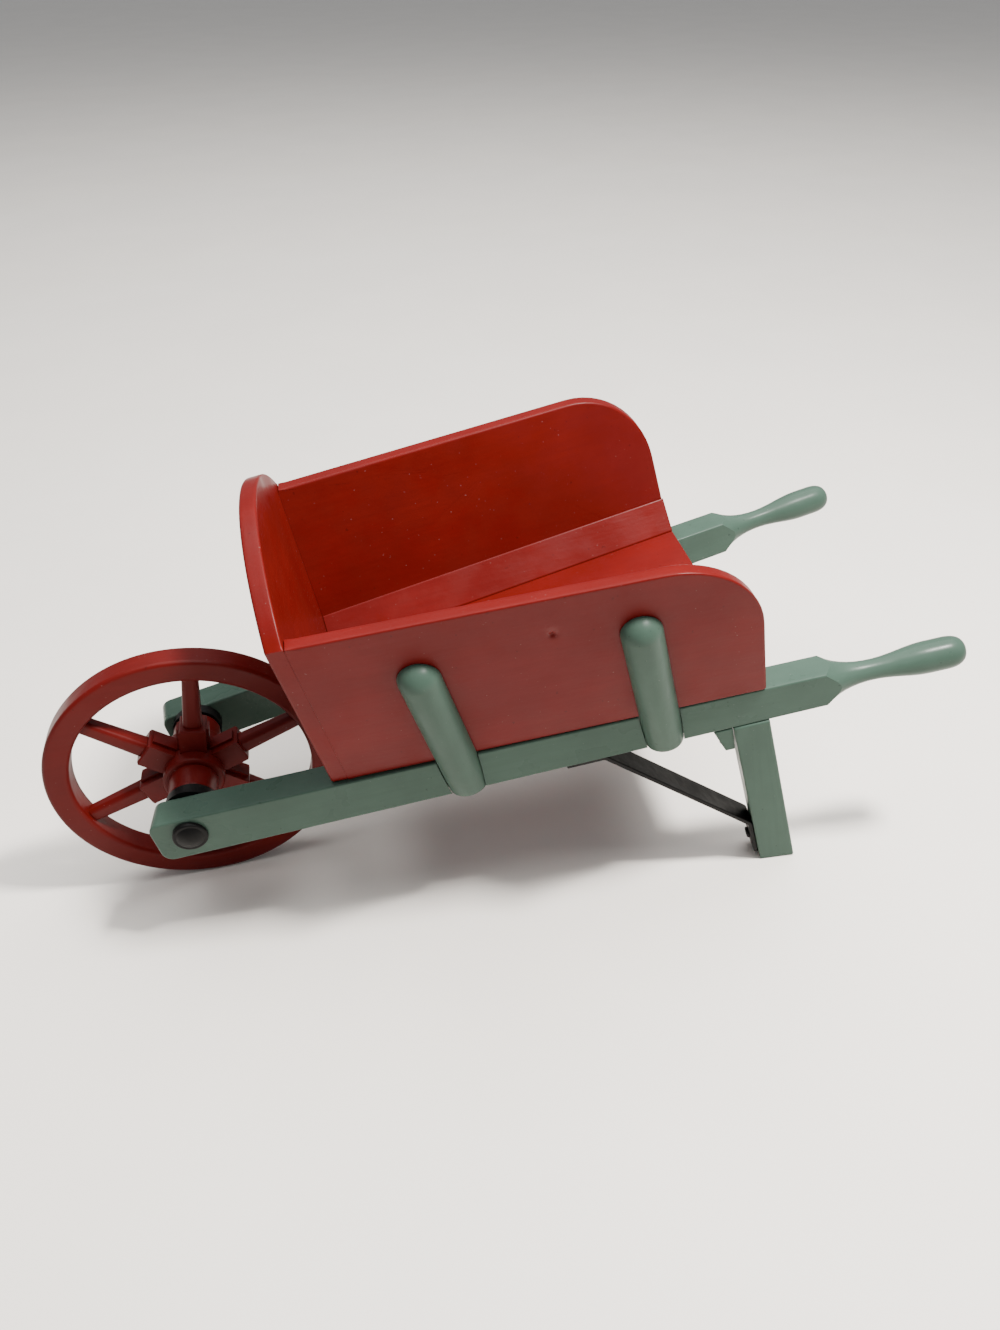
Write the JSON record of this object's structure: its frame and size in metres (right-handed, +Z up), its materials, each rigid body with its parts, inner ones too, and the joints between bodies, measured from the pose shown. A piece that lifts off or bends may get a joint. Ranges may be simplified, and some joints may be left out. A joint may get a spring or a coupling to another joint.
{
  "type": "wooden wheelbarrow",
  "caption": "Small painted wooden wheelbarrow: spoked wheel between converging shafts, open-backed flared tray with stakes, raked legs and iron braces.",
  "frame": {"origin": "on the ground, under the middle of the overall box", "axes": "+Z up, +X from the wheel towards the grips, +Y towards the pusher's right"},
  "size_m": [0.4172, 0.1798, 0.1979],
  "materials": {
    "green_frame_paint": "semi-gloss sage green paint on wood",
    "red_tray_paint": "semi-gloss barn red paint on wood",
    "red_wheel_paint": "semi-gloss dark red paint on wood",
    "black_iron": "satin black paint on iron",
    "plain_steel": "plain steel"
  },
  "bodies": {
    "frame": {"axle": "plain_steel", "brace_screws": "black_iron", "cross_bar": "green_frame_paint", "cross_bar_screws": "plain_steel", "front_board": "red_tray_paint", "front_board_nails": "plain_steel", "left_axle_cap": "black_iron", "left_brace": "black_iron", "left_corner_strip": "red_tray_paint", "left_front_stake": "green_frame_paint", "left_hub_washer": "black_iron", "left_leg": "green_frame_paint", "left_rear_stake": "green_frame_paint", "left_shaft": "green_frame_paint", "left_side_board": "red_tray_paint", "leg_screws": "plain_steel", "right_axle_cap": "black_iron", "right_brace": "black_iron", "right_corner_strip": "red_tray_paint", "right_front_stake": "green_frame_paint", "right_hub_washer": "black_iron", "right_leg": "green_frame_paint", "right_rear_stake": "green_frame_paint", "right_shaft": "green_frame_paint", "right_side_board": "red_tray_paint", "stake_screws": "plain_steel", "tray_floor": "red_tray_paint", "tray_screws": "plain_steel"},
    "wheel": {"wheel_hub": "red_wheel_paint", "wheel_rim": "red_wheel_paint", "spoke_1": "red_wheel_paint", "spoke_2": "red_wheel_paint", "spoke_3": "red_wheel_paint", "spoke_4": "red_wheel_paint", "spoke_5": "red_wheel_paint", "spoke_6": "red_wheel_paint"}
  },
  "joints": [
    {"name": "wheel_spin", "type": "hinge", "parent": "frame", "child": "wheel", "pos_m": [-0.14458, 0, 0.064], "axis": [0, 1, 0], "continuous": true}
  ]
}
